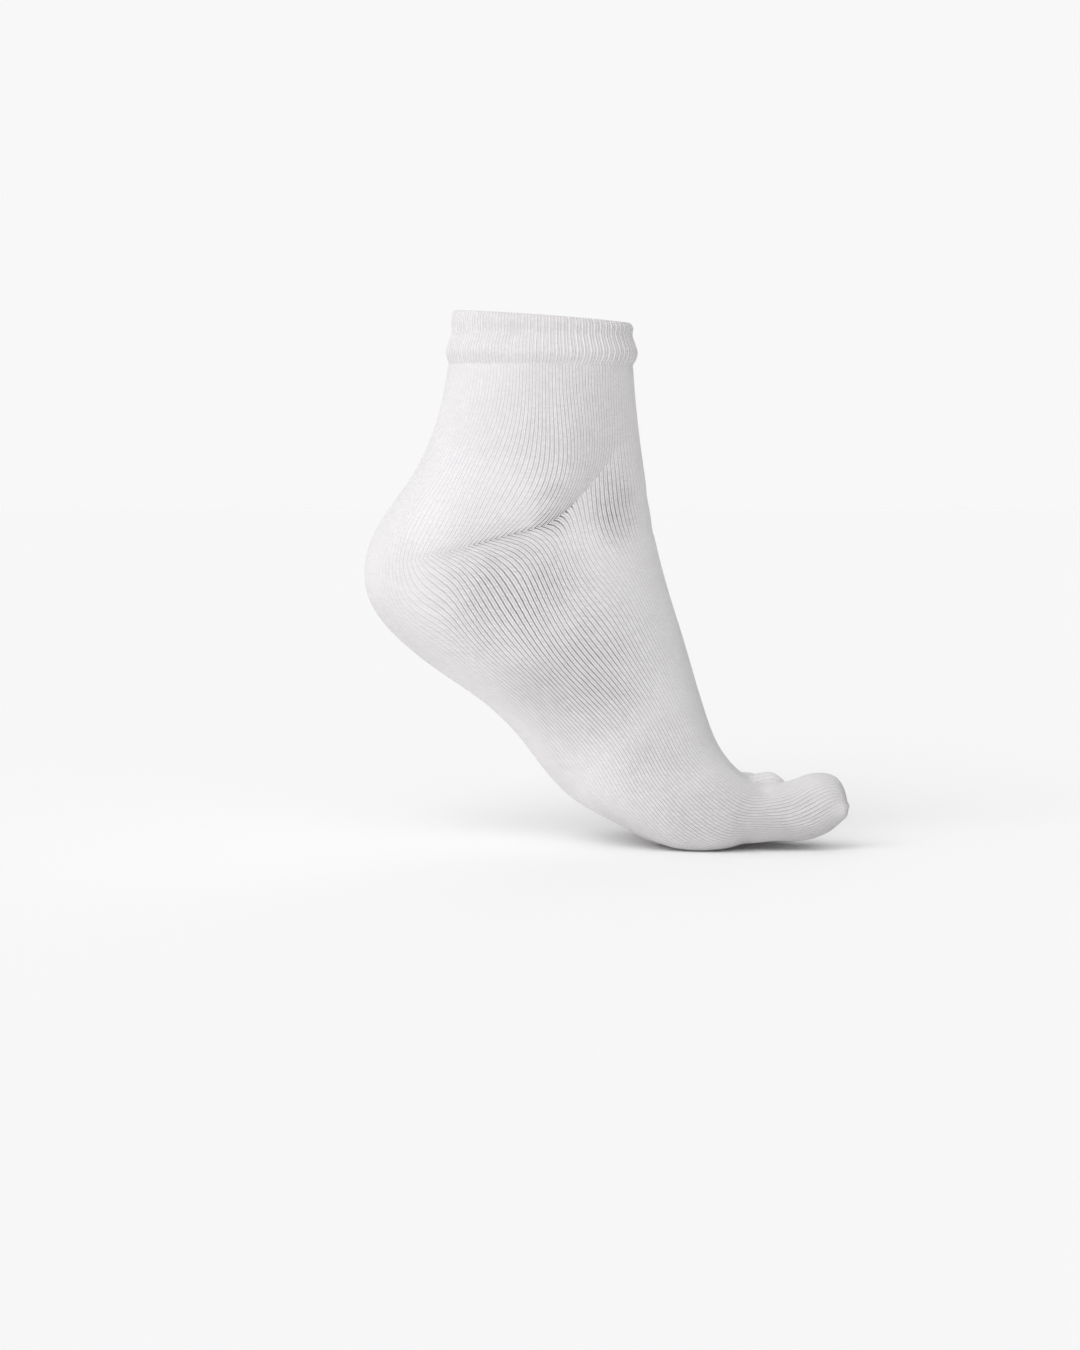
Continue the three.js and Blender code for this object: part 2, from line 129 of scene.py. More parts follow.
# The line where the heel pocket joins the instep, seen from the side: nearly straight up to its bend, then
# rising ever steeper. A wale bends at it: it comes down to it leaning back and leaves it leaning forward.
GORE_BEND = (1.1, -88.2)  # x and z of its bend
GORE_SLOPE = 0.27  # of its straight part
GORE_RISE, GORE_RISE_POWER = 0.14, 1.5  # the curve that it rises in past its bend
GORE_START = -34.0  # its end at the side of the heel
GORE_WIDTH = 1.3  # of the open stitches along it
GORE_OPEN_FROM, GORE_OPEN_TO = GORE_START - 2, GORE_START + 6  # x between which these open
GORE_SHUT_FROM, GORE_SHUT_TO = 8, 16  # and between which they end
GORE_HALF_OPEN, GORE_FULL_OPEN = -14, 2  # x up to which they are half open, and from which fully
GORE_SIDE_FROM, GORE_SIDE_TO = 16, 24  # distance from the middle plane between which the line sets in
WALE_PITCH = 1.55  # from one wale to the next, at the side of the ankle
SIDE_FULL = 24.0  # distance from the middle plane at which a shift of the wales is full

# How the wales bend on each side of that line: by how much at most, how far from the line that is, and the
# x where the bend is still full and where it is gone. Behind the line it sets in from HEEL_BACK on.
HEEL_BACK = -64
BEND_COLUMNS = ("side", "size", "reach", "full_to", "gone_at")
BENDS = {
    "above": (1, 8.5, 21.0, 8.0, 42.0),
    "below": (-1, 9.0, 20.0, -12.0, 26.0),
}

# Where the foot's form carries the wales along, as seen from the side: middle, reach and by how many wales.
LEAN_COLUMNS = ("x", "z", "reach", "wales")
LEANS = {
    "back of leg": (-20, -35, 35, -2),
    "front of leg": (20, -35, 35, 4),
    "behind ankle": (-30, -70, 30, 6),
    "heel": (-50, -120, 30, 2),
    "below the gore": (-15, -120, 30, 1),
    "instep": (30, -125, 30, -5),
    "middle of foot": (50, -165, 30, -2),
    "back of ball": (25, -195, 30, -6),
    "ball": (60, -205, 25, 1),
    "big toe": (100, -210, 25, 5),
}

# Where the knit is stretched until gaps show between its wales, which are painted with shade: middle, reach
# and how much.
STRETCH_EDGE = 1.4  # how sharply such a place ends, 1 for a bell curve
STRETCH_SIDE = (4, 22)  # distance from the middle plane between which it sets in
STRETCH_TIP = (5, 13)  # and distance from a toe's tip
STRETCH_COLUMNS = ("x", "z", "reach_x", "reach_z", "amount")
STRETCH = {
    "below the gore": (-9, -120, 31, 28, 1.0),
    "side of foot": (15, -150, 33, 33, 1.0),
    "behind ball": (48, -190, 24, 24, 0.5),
    "ball": (66, -210, 32, 18, 0.6),
    "big toe": (106, -212, 25, 13, 0.6),
    "leg": (14, -55, 30, 42, 0.4),
    "above the gore": (6, -76, 12, 11, 0.6),
    "bend of the gore": (4, -86, 8, 7, 1.0),
    "end of the gore": (30, -80, 10, 16, 0.95),
}

# The welt's outer face, from its joint with the leg up to its rim.
WELT_COLUMNS = ("back_x", "back_z", "front_x", "front_z", "half", "rib")
WELT_FACE = {
    "joint": (-40.0, -21.2, 38.5, -21.6, 29.2, 0.3),
    "crease": (-40.1, -19.9, 38.9, -20.2, 29.5, 0.6),
    "under bulge": (-40.6, -18.0, 39.9, -18.5, 30.4, 1),
    "bulge": (-41.0, -15.2, 40.5, -15.5, 31.0, 1),
    "over bulge": (-40.2, -12.0, 39.6, -12.4, 30.2, 1),
    "waist": (-38.5, -7.0, 38.3, -8.5, 28.4, 1),
    "upper band": (-38.7, -2.2, 38.6, -5.6, 28.7, 1),
    "shoulder": (-38.2, 1.0, 38.1, -4.1, 28.2, 0.9),
    "fold": (-37.2, 2.2, 37.1, -3.1, 27.2, 0.6),
    "fold inside": (-36.0, 1.7, 35.9, -3.6, 26.1, 0.4),
}
WELT_INSIDE = ("upper band", "waist", "bulge", "joint")  # rows that its inner face follows

# Soft creases: where they are seen from the side, their direction, length, width and height.
CREASE_COLUMNS = ("x", "z", "turn", "length", "width", "height")
CREASES = {
    "end of gore": (-41.0, -98.6, 8, 9.0, 2.6, 0.9),
    "under end of gore": (-40.0, -102.6, 10, 9.0, 2.4, -0.5),
    "beside ankle": (2.0, -72.0, 35, 12.0, 4.0, 0.25),
    "above heel": (-44.0, -84.0, -42, 12.0, 4.5, 0.3),
    "behind big toe": (84.0, -214.0, 68, 7.0, 3.0, -0.7),
    "front of ankle": (40.0, -78.0, 20, 7.0, 3.0, -0.4),
    "over instep": (45.0, -92.0, 22, 8.0, 3.4, -0.35),
    "corner of big toe": (127.0, -209.5, 90, 3.2, 2.2, 1.3),
    "under big toe": (85.0, -222.0, 0, 12.0, 4.0, 1.5),
}

# The seam across the end of a toe, which starts behind its tip and goes a little past its sides.
TIP_SEAM_BACK, TIP_SEAM_FULL, TIP_SEAM_PAST = 6.5, 1, 1.5
TIP_SEAM_WIDTH, TIP_SEAM_HEIGHT = 1.0, 0.7

# Colours of the knit
YARN = (0.797, 0.783, 0.796)
YARN_THIN = (0.682, 0.66, 0.67)  # where the yarn is thin
GAP_SHADE = (0.09, 0.065, 0.06)  # painted shade: the dark seen through gaps between wales that are pulled apart, and in the grooves beside the legs of yarn
TINT_FROM, TINT_TO, TINT_MOST = 0.35, 0.7, 0.35  # large patches: range of their noise, how thin at most
STITCH_TINT = 0.7  # how thin a single stitch is at most

# A stitch: each wale is two slanted legs of yarn. Across a wale, 0 is its middle and 1 its edge.
LEG_AT, LEG_REACH = 0.42, 0.56  # middle and reach of a leg of yarn
LEG_SLANT = 0.75  # courses that a leg rises by on its way across
LOOP_POWER = 0.6  # power of the sine that gives a stitch's profile along its leg
LOOP_RELIEF = 0.4  # share of the relief that comes from single stitches
GROOVE_SHADE_FROM, GROOVE_SHADE_TO = 0.72, 0.1  # relief between which the yarn goes over to a gap, coloured with painted shade
GORE_SHADE_FROM, GORE_SHADE_TO = 0.8, 0.2  # and along the heel's joining line, also painted shade
HOLE_LEAST, HOLE_MORE = 0.6, 0.5  # a gap beside the ends of a stitch, and what its middle adds, in the painted shade
OPEN_LEAST, OPEN_MORE = 0.45, 0.9  # how open a stretched gap is, and what patches of noise add

# What isn't stretched is calmer, and stretching adds to it.
LIVELY_CALM, LIVELY_MORE = 0.45, 0.9  # unevenness of the yarn
RELIEF_CALM, RELIEF_MORE = 0.52, 0.48  # height of the relief

# Unevenness of the knit, and how fine the noise is that it comes from.
FINE_NOISE, PATCH_NOISE, TINT_NOISE, ROUGH_NOISE = 900.0, 110.0, 28.0, 1500.0
NOISE_DETAIL = 2.0
WOBBLE = 0.16  # of the wales and courses
FUZZ, FUZZ_DETAIL = 0.65, 4.0  # of the relief
ROUGHNESS, ROUGHNESS_MORE = 0.82, 0.12  # of the yarn, and what noise adds
CLOTH_SHADER = {"Sheen Weight": 0.35, "Sheen Roughness": 0.55, "Specular IOR Level": 0.25}

# Depth of the relief in metres, and how much painted shade stays in the grooves where nothing is stretched.
PLAIN_DEPTH, PLAIN_GAP_SHADE = 0.00042, 0.1
RIB_DEPTH, RIB_GAP_SHADE = 0.00030, 0.15

# Floor and studio
FLOOR_SIZE = 12  # in metres
FLOOR_BELOW = 0.05  # how far the floor lies below the sole
FLOOR_TONE = 0.98
BACKGROUND = 0.939  # brightness of the studio behind the sock
LEFT_DARKER, RIGHT_DARKER = 0.3, 0.75  # and how much darker it is overhead towards the sides of the studio
LEFT_FROM, LEFT_TO = -0.1, -0.9  # directions between which the left side gets darker
RIGHT_FROM, RIGHT_TO = 0.1, 0.7  # and the right side
OVERHEAD_FROM, OVERHEAD_TO = 0.1, 0.3  # and heights of view between which overhead sets in

# Soft lights: their strength, how wide they are in degrees, and the way their light goes.
LIGHT_COLUMNS = ("energy", "width", "heading")
LIGHTS = {
    "key": (1.1, 50, (0.47, 0.57, -0.67)),
    "low fill": (0.52, 30, (0.3, 0.95, -0.05)),
}

# Camera, in metres
VIEW_DISTANCE = 1.35  # from the camera to the sock's middle plane
VIEW_HEIGHT = 0.176  # of the camera above the floor
PIXEL = 0.00043  # what one pixel of the picture spans at the sock
PICTURE = (1080, 1350)
ORIGIN_AT = (542.5, 318)  # the pixel where the part's origin shows
SENSOR = 36  # width of the camera's sensor, in millimetres
NEAREST, FARTHEST = 0.05, 50  # distances that the camera shows


def rows(table, columns):
    """A table's rows as dictionaries, each with its name."""
    return [dict(zip(columns, values), name=name) for name, values in table.items()]


BODY_ROWS = rows(BODY, BODY_COLUMNS)
TOE_ROWS = rows(TOES, TOE_COLUMNS)
WELT_ROWS = rows(WELT_FACE, WELT_COLUMNS)
WELT_AROUND = RIBS * STEPS_PER_RIB
HALF = sum(toe["segments"] for toe in TOE_ROWS)
AROUND = 2 * HALF
WEBS = [sum(toe["segments"] for toe in TOE_ROWS[: i + 1]) for i in range(len(TOE_ROWS) - 1)]


def lerp(a, b, t):
    return a + (b - a) * t


def smoothstep(x, start, end):
    t = np.clip((x - start) / (end - start), 0, 1)
    return t * t * (3 - 2 * t)


def bump(x, middle, reach):
    """A soft bump, 1 at its middle."""
    return np.exp(-(((x - middle) / reach) ** 2))


def power(value, exponent):
    return np.sign(value) * np.abs(value) ** exponent


def between(table, column, place):
    """Smooth value between the rows of a table: a Catmull-Rom curve through each column."""
    last = len(table) - 1
    i = min(int(place), last - 1)
    t = place - i
    a, b, c, d = (table[min(max(k, 0), last)][column] for k in (i - 1, i, i + 1, i + 2))
    return b + 0.5 * t * (c - a + t * (2 * a - 5 * b + 4 * c - d + t * (3 * (b - c) + d - a)))


def section_points(s, angles):
    """Points of a section: angle 0 is the inner side, a quarter turn the front, half the outer side."""
    forward = power(np.sin(angles), 2 / s["round"])
    outward = power(-np.cos(angles), 2 / s["round"])
    lowered = np.where(forward > 0, forward * (1 - s["droop"] * np.maximum(0, outward)), forward)
    depth = lowered + 2 * s["arch"] * np.maximum(0, -forward) * np.maximum(0, -outward)
    x = lerp(s["back_x"], s["front_x"], (depth + 1) / 2) - s["skew"] * outward
    z = lerp(s["back_z"], s["front_z"], (depth + 1) / 2)
    y = outward * np.where(outward > 0, s["lateral"], s["medial"])
    return np.stack([x, y, z], axis=1)


def evenly(s, start, end, count):
    """count points spaced evenly along half of a section, without the last."""
    fine = section_points(s, np.linspace(start, end, ARC_SAMPLES))
    along = np.concatenate([[0], np.cumsum(np.linalg.norm(np.diff(fine, axis=0), axis=1))])
    wanted = along[-1] * np.arange(count) / count
    return np.stack([np.interp(wanted, along, fine[:, k]) for k in range(3)], axis=1)


def ring_of(s, half):
    """A whole section, with half of its points on the instep side and half on the sole side."""
    return np.concatenate([evenly(s, 0, math.pi, half), evenly(s, math.pi, 2 * math.pi, half)])


def valley(index):
    """How deep in a valley between two toes a point is, from 0 to 1."""
    from_inner_side = index if index <= HALF else AROUND - index
    nearest = min(abs(web - from_inner_side) for web in WEBS)
    return math.cos(math.pi * nearest / (2 * VALLEY_REACH)) ** 2 if nearest < VALLEY_REACH else 0


def body_ring(place):
    """A ring of the leg and foot at a place in the table, with its valleys and its patch on the floor."""
    s = {column: between(BODY_ROWS, column, place) for column in BODY_COLUMNS}
    last = len(BODY_ROWS) - 1
    grown = smoothstep(place, last - SCALLOP_START, last)
    ring = ring_of(s, HALF)
    for i in range(AROUND):
        ring[i, 2] += valley(i) * grown * (-VALLEY_TOP if i < HALF else VALLEY_SOLE)
    ring[:, 2] = np.maximum(ring[:, 2], FLOOR_Z)
    return ring


class Skin:
    """The outer skin: points, each with its course of the knit, and faces with the wale at each corner."""

    def __init__(self):
        self.points = []
        self.courses = []
        self.faces = []

    def add(self, point, course):
        self.points.append(np.asarray(point, float))
        self.courses.append(course)
        return len(self.points) - 1

    def after(self, point, before):
        """A point one ring on from another, with its course worked out from how far it is."""
        course = self.courses[before] + np.linalg.norm(point - self.points[before]) / COURSE
        return self.add(point, course)

    def band(self, upper, lower, wales):
        """Faces between two closed rings."""
        count = len(upper)
        for i in range(count):
            j = (i + 1) % count
            corners = (upper[i], lower[i], lower[j], upper[j])
            self.faces.append((corners, (wales[i], wales[i], wales[i + 1], wales[i + 1])))


def make_body(skin):
    """The leg and foot. Returns the last ring, at the roots of the toes."""
    steps = (len(BODY_ROWS) - 1) * RINGS_PER_SECTION
    wales = [i * WALES_PER_SEGMENT for i in range(AROUND + 1)]
    previous = None
    for step in range(steps + 1):
        points = body_ring(step / RINGS_PER_SECTION)
        if previous is None:
            previous = [skin.add(p * (TUCK_IN, TUCK_IN, 1) + (0, 0, TUCK_UP), 0) for p in points]
        ring = [skin.after(p, before) for p, before in zip(points, previous)]
        skin.band(previous, ring, wales)
        previous = ring
    return previous


def make_bridges(skin, front):
    """The points down each web between two toes."""
    bridges = []
    for web in WEBS:
        top, sole = skin.points[front[web]], skin.points[front[AROUND - web]]
        course = skin.courses[front[web]]
        bridges.append([skin.add(lerp(top, sole, k / BRIDGE), course) for k in range(1, BRIDGE)])
    return bridges


def web_ring(bridge, start):
    """The points along a web, each with its angle on the toe."""
    return [(point, start + 2 * WEB_TURN * (k + 1) / BRIDGE) for k, point in enumerate(bridge)]


def toe_root(t, front, bridges):
    """The points round toe t where it leaves the foot, each with its angle on the toe, and their wales."""
    segments = TOE_ROWS[t]["segments"]
    first = WEBS[t - 1] if t else 0
    last = first + segments
    outermost = t == len(TOE_ROWS) - 1
    start = WEB_TURN if t else 0
    end = math.pi if outermost else math.pi - WEB_TURN
    web_steps = [WALES_PER_WEB / BRIDGE] * BRIDGE

    def turn(i):
        return lerp(start, end, (i - first) / segments)

    ring = [(front[i], turn(i)) for i in range(first, last + 1)]
    steps = [WALES_PER_SEGMENT] * segments
    if not outermost:
        ring += web_ring(bridges[t], end)
        steps += web_steps
    sole_from = last - 1 if outermost else last
    sole_to = first if t else 1
    ring += [(front[AROUND - i], 2 * math.pi - turn(i)) for i in range(sole_from, sole_to - 1, -1)]
    steps += [WALES_PER_SEGMENT] * segments
    if t:
        ring += web_ring(reversed(bridges[t - 1]), 2 * math.pi - start)
        steps += web_steps
    wales = WALES_PER_SEGMENT * first + np.concatenate([[0], np.cumsum(steps)])
    return ring, wales


def closing(share, start):
    """How wide a face still is on its way to the tip, from 1 where it starts to close down to 0."""
    return math.sqrt(1 - (max(0, share - start) / (1 - start)) ** 2)


def toe_section(toe, root, share):
    """The middle, half width, top and underside of a toe at a share of its length."""
    ahead = toe["length"] * share
    inner, outer = (side + line * ahead / TOE_LINE_RUN for side, line in zip(root["sides"], root["lines"]))
    room = (outer - inner - TOE_CLEARANCE) / 2
    ease = smoothstep(share, 0, TOE_EASE)
    rise = smoothstep(share, 0, toe["crest_at"])
    fall = min(max((share - toe["crest_at"]) / (CLOSE_BACK - toe["crest_at"]), 0), FALL_MOST)
    fallen = (toe["crest"] - toe["end"]) * fall**FALL_POWER
    dip = DIP_DEPTH * bump(share, DIP_AT, DIP_REACH) if toe["name"] == "toe_big" else 0
    hollow = toe["hollow"] * bump(share, HOLLOW_AT, HOLLOW_REACH)
    back = lerp(root["top"] - FLOOR_Z, toe["crest"], rise) - fallen - dip
    under = lerp(root["under"] - FLOOR_Z, toe["lift"], ease) + hollow
    return {
        "x": root["x"] + ahead,
        "y": (inner + outer) / 2,
        "half": min(room, lerp(room, toe["half"], ease)) * closing(share, CLOSE_SIDES),
        "top": FLOOR_Z + toe["tip"] + (back - toe["tip"]) * closing(share, CLOSE_BACK),
        "under": FLOOR_Z + toe["tip"] + (under - toe["tip"]) * closing(share, CLOSE_UNDER),
    }


def toe_point(s, angle):
    """The point of a toe's section at an angle, kept above the floor."""
    up = power(math.sin(angle), 2 / TOE_ROUND)
    out = power(-math.cos(angle), 2 / TOE_ROUND)
    height = lerp(s["under"], s["top"], (up + 1) / 2)
    return np.array([s["x"], s["y"] + s["half"] * out, max(height, FLOOR_Z)])


def root_frame(skin, t, front, at):
    """Where toe t leaves the foot: its middle, the lines beside it, its top and its underside."""
    web_y = [(skin.points[front[web]][1] + skin.points[front[AROUND - web]][1]) / 2 for web in WEBS]
    return {
        "x": at[:, 0].mean(),
        "sides": (web_y[t - 1] if t else at[:, 1].min(), web_y[t] if t < len(WEBS) else at[:, 1].max()),
        "lines": TOE_LINES[t : t + 2],
        "top": at[:, 2].max(),
        "under": at[:, 2].min(),
    }


def make_toe(skin, t, front, bridges):
    """One toe sleeve, from its root to its closed tip. Returns where its tip is, and its half width."""
    toe = TOE_ROWS[t]
    ring, wales = toe_root(t, front, bridges)
    at = np.array([skin.points[point] for point, _ in ring])
    root = root_frame(skin, t, front, at)
    slant = at[:, 0] - root["x"]
    previous = [point for point, _ in ring]
    for share in (TOE_ROOT / toe["length"], *TOE_STATIONS):
        s = toe_section(toe, root, share)
        keep_slant = 1 - smoothstep(share, SLANT_FULL, SLANT_GONE)
        keep = max(0, 1 - share / ROOT_GONE) ** ROOT_POWER
        following = []
        for i, (_, angle) in enumerate(ring):
            p = toe_point(s, angle)
            p[0] += slant[i] * keep_slant
            p[1] = lerp(p[1], at[i, 1], keep * ROOT_WIDTH)
            p[2] = lerp(p[2], at[i, 2], keep * ROOT_HEIGHT)
            following.append(skin.after(p, previous[i]))
        skin.band(previous, following, wales)
        previous = following
    end = toe_section(toe, root, 1)
    tip = skin.after(np.array([end["x"], end["y"], (end["top"] + end["under"]) / 2]), previous[0])
    for i in range(len(previous)):
        corners = (previous[i], tip, previous[(i + 1) % len(previous)])
        skin.faces.append((corners, (wales[i], (wales[i] + wales[i + 1]) / 2, wales[i + 1])))
    return skin.points[tip], toe["half"]


def smooth_mesh(skin):
    """The skin as one mesh, its faces split and smoothed."""
    mesh = bpy.data.meshes.new("skin")
    corners = [points for points, _ in skin.faces]
    mesh.from_pydata([tuple(p * MM) for p in skin.points], [], corners)
    knit = mesh.uv_layers.new(name="knit")
    loop = 0
    for points, wales in skin.faces:
        for point, wale in zip(points, wales):
            knit.data[loop].uv = (wale, skin.courses[point])
            loop += 1
    holder = bpy.data.objects.new("skin", mesh)
    bpy.context.collection.objects.link(holder)
    split = holder.modifiers.new("finer", "SUBSURF")
    split.levels = split.render_levels = FINER
    split.uv_smooth = "PRESERVE_BOUNDARIES"
    depsgraph = bpy.context.evaluated_depsgraph_get()
    fine = bpy.data.meshes.new_from_object(holder.evaluated_get(depsgraph))
    bpy.data.objects.remove(holder)
    return fine


def stretch_at(x, z):
    """How far the knit is stretched open at a place seen from the side, from 0 to 1."""
    amount = np.zeros_like(x)
    for spot in rows(STRETCH, STRETCH_COLUMNS):
        away = ((x - spot["x"]) / spot["reach_x"]) ** 2 + ((z - spot["z"]) / spot["reach_z"]) ** 2
        amount = np.maximum(amount, spot["amount"] * np.exp(-(away**STRETCH_EDGE)))
    return amount


def mesh_arrays(mesh):
    """A mesh's points in millimetres, and its normals."""
    points = np.empty(len(mesh.vertices) * 3)
    mesh.vertices.foreach_get("co", points)
    normals = np.empty(len(mesh.vertices) * 3)
    mesh.vertices.foreach_get("normal", normals)
    return points.reshape(-1, 3) * METRE, normals.reshape(-1, 3)


def store_stretch(mesh, tips):
    """Stores at each point how far the knit is stretched open there. Both sides of the foot are alike."""
    points, _ = mesh_arrays(mesh)
    stretched = stretch_at(points[:, 0], points[:, 2]) * smoothstep(np.abs(points[:, 1]), *STRETCH_SIDE)
    for tip, _ in tips:
        stretched *= smoothstep(np.linalg.norm(points - tip, axis=1), *STRETCH_TIP)
    gaps = mesh.attributes.new("gaps", "FLOAT", "POINT")
    gaps.data.foreach_set("value", stretched)


def lean_wales(mesh):
    """Carries the wales along where the foot's form pulls them. Both sides of the foot are alike."""
    points, _ = mesh_arrays(mesh)
    carried = np.zeros(len(points))
    for spot in rows(LEANS, LEAN_COLUMNS):
        away = np.hypot(points[:, 0] - spot["x"], points[:, 2] - spot["z"])
        carried += spot["wales"] * bump(away, 0, spot["reach"])
    carried *= np.clip(points[:, 1] / -SIDE_FULL, -1, 1)
    corner_points = np.empty(len(mesh.loops), int)
    mesh.loops.foreach_get("vertex_index", corner_points)
    knit = mesh.uv_layers["knit"]
    uv = np.empty(len(mesh.loops) * 2)
    knit.data.foreach_get("uv", uv)
    uv[0::2] += carried[corner_points]
    knit.data.foreach_set("uv", uv)


def crease(mesh, tips):
    """Raises and sinks the skin along its creases, on both sides alike, and raises the toes' seams."""
    points, normals = mesh_arrays(mesh)
    rise = np.zeros(len(points))
    for fold in rows(CREASES, CREASE_COLUMNS):
        turn = math.radians(fold["turn"])
        dx, dz = points[:, 0] - fold["x"], points[:, 2] - fold["z"]
        along = dx * math.cos(turn) + dz * math.sin(turn)
        across = -dx * math.sin(turn) + dz * math.cos(turn)
        rise += fold["height"] * bump(along, 0, fold["length"]) * bump(across, 0, fold["width"])
    for (tip_x, tip_y, tip_z), half in tips:
        at_end = smoothstep(points[:, 0], tip_x - TIP_SEAM_BACK, tip_x - TIP_SEAM_FULL)
        on_toe = smoothstep(half + TIP_SEAM_PAST - np.abs(points[:, 1] - tip_y), 0, 1)
        rise += TIP_SEAM_HEIGHT * at_end * on_toe * bump(points[:, 2], tip_z, TIP_SEAM_WIDTH)
    points += normals * rise[:, None]
    points[:, 2] = np.maximum(points[:, 2], FLOOR_Z)
    mesh.vertices.foreach_set("co", (points * MM).ravel())
    mesh.update()


def thicken(piece, thickness):
    """Turns an open skin into a closed wall by adding its inner face and rim."""
    wall = piece.modifiers.new("wall", "SOLIDIFY")
    wall.thickness = thickness * MM
    wall.offset = -1
    wall.use_even_offset = False
    wall.use_rim = True
    depsgraph = bpy.context.evaluated_depsgraph_get()
    mesh = bpy.data.meshes.new_from_object(piece.evaluated_get(depsgraph))
    piece.modifiers.clear()
    piece.data = mesh


def closed_grid(name, rings):
    """Closed rings of points as one mesh, with the last ring joined to the first."""
    count = len(rings[0])
    vertices = [tuple(p * MM) for ring in rings for p in ring]
    faces = []
    for r in range(len(rings)):
        following = (r + 1) % len(rings)
        for i in range(count):
            j = (i + 1) % count
            faces.append((r * count + i, r * count + j, following * count + j, following * count + i))
    mesh = bpy.data.meshes.new(name)
    mesh.from_pydata(vertices, [], faces)
    piece = bpy.data.objects.new(name, mesh)
    bpy.context.collection.objects.link(piece)
    return piece


def welt_ring(row, inwards=0):
    """The smooth ring of the welt at a row of its table, moved inwards."""
    section = {
        "back_x": row["back_x"] + inwards,
        "front_x": row["front_x"] - inwards,
        "back_z": row["back_z"],
        "front_z": row["front_z"],
        "medial": row["half"] - inwards,
        "lateral": row["half"] - inwards,
    }
    return ring_of(dict(section, round=WELT_ROUND, skew=0, droop=0, arch=0), WELT_AROUND // 2)


def rib_profile():
    """How far each point round the welt stands out, as a share of a rib's height."""
    steps = np.arange(WELT_AROUND)
    rib = np.abs(np.sin(math.pi * steps / STEPS_PER_RIB)) ** RIB_POWER
    rib *= np.where(steps // STEPS_PER_RIB % 2, RIB_LOWER, 1)
    return rib - RIB_SUNK


def ribbed_ring(place):
    """The ribbed ring of the welt at a place in its table."""
    row = {column: between(WELT_ROWS, column, place) for column in WELT_COLUMNS}
    ring = welt_ring(row)
    middle = np.array([(row["back_x"] + row["front_x"]) / 2, 0, 0])
    outward = (ring - middle) * (1, 1, 0)
    outward /= np.linalg.norm(outward, axis=1)[:, None]
    return ring + outward * (rib_profile() * RIB_HEIGHT * row["rib"])[:, None]


def knit_welt(piece, rings):
    """Gives each corner of the welt its wale and course, and each point how far it is stretched open."""
    ways = [abs(after[0, 2] - before[0, 2]) + WELT_STEP_IN for before, after in zip(rings, rings[1:])]
    along = np.concatenate([[0], np.cumsum([*ways, WELT_STEP_ROUND])])
    knit = piece.data.uv_layers.new(name="knit")
    loop = 0
    for low, high in zip(along, along[1:]):
        for i in range(WELT_AROUND):
            left, right = i / STEPS_PER_RIB, (i + 1) / STEPS_PER_RIB
            for wale, course in ((left, low), (right, low), (right, high), (left, high)):
                knit.data[loop].uv = (wale + WELT_WALE, course / COURSE)
                loop += 1
    gaps = piece.data.attributes.new("gaps", "FLOAT", "POINT")
    gaps.data.foreach_set("value", np.full(len(piece.data.vertices), WELT_OPEN))


def make_welt():
    """The doubled welt: ribbed outside, folded over at the rim and plain inside."""
    steps = (len(WELT_ROWS) - 1) * WELT_RINGS_PER_ROW
    rings = [ribbed_ring(step / WELT_RINGS_PER_ROW) for step in range(steps + 1)]
    by_name = {row["name"]: row for row in WELT_ROWS}
    rings += [welt_ring(by_name[name], WELT) for name in WELT_INSIDE]
    piece = closed_grid("welt_knit", rings)
    knit_welt(piece, rings)
    return piece


def shade_smooth(piece):
    piece.data.polygons.foreach_set("use_smooth", [True] * len(piece.data.polygons))
    piece.data.update()


class Nodes:
    """Short calls for building a material's nodes."""

    def __init__(self, owner, shader="Principled BSDF"):
        owner.use_nodes = True
        self.tree = owner.node_tree
        self.shader = self.tree.nodes[shader]

    def link(self, source, target):
        self.tree.links.new(source, target)

    def new(self, kind, **settings):
        node = self.tree.nodes.new(kind)
        for key, value in settings.items():
            setattr(node, key, value)
        return node

    def math(self, operation, a, b=None, c=None, clamp=False):
        node = self.new("ShaderNodeMath", operation=operation, use_clamp=clamp)
        for socket, value in zip(node.inputs, (a, b, c)):
            if value is None:
                continue
            if isinstance(value, (int, float)):
                socket.default_value = value
            else:
                self.link(value, socket)
        return node.outputs[0]

    def set_inputs(self, values):
        for name, value in values.items():
            self.shader.inputs[name].default_value = value

    def ramp(self, value, low, high, to_low=0.0, to_high=1.0):
        """A smooth step from to_low at low to to_high at high, which may lie either way round."""
        node = self.new("ShaderNodeMapRange", interpolation_type="SMOOTHSTEP")
        self.link(value, node.inputs["Value"])
        ends = {"From Min": low, "From Max": high, "To Min": to_low, "To Max": to_high}
        for name, number in ends.items():
            node.inputs[name].default_value = number
        return node.outputs["Result"]

    def parts(self, vector):
        """The three numbers of a vector."""
        node = self.new("ShaderNodeSeparateXYZ")
        self.link(vector, node.inputs[0])
        return node.outputs

    def scaled(self, vector, factor):
        node = self.new("ShaderNodeVectorMath", operation="SCALE")
        self.link(vector, node.inputs[0])
        node.inputs["Scale"].default_value = factor
        return node.outputs[0]

    def noise(self, scale, place, detail=NOISE_DETAIL):
        node = self.new("ShaderNodeTexNoise")
        node.inputs["Scale"].default_value = scale
        node.inputs["Detail"].default_value = detail
        self.link(place, node.inputs["Vector"])
        return node.outputs[0]

    def random(self, column, row):
        """A number from 0 to 1 for each place in a grid."""
        grid = self.new("ShaderNodeCombineXYZ")
        self.link(column, grid.inputs[0])
        self.link(row, grid.inputs[1])
        node = self.new("ShaderNodeTexWhiteNoise", noise_dimensions="2D")
        self.link(grid.outputs[0], node.inputs["Vector"])
        return node.outputs["Value"]

    def mix(self, factor, a, b):
        node = self.new("ShaderNodeMix", data_type="RGBA")
        self.link(factor, node.inputs[0])
        for socket, value in ((node.inputs[6], a), (node.inputs[7], b)):
            if isinstance(value, tuple):
                socket.default_value = (*value, 1)
            else:
                self.link(value, socket)
        return node.outputs[2]


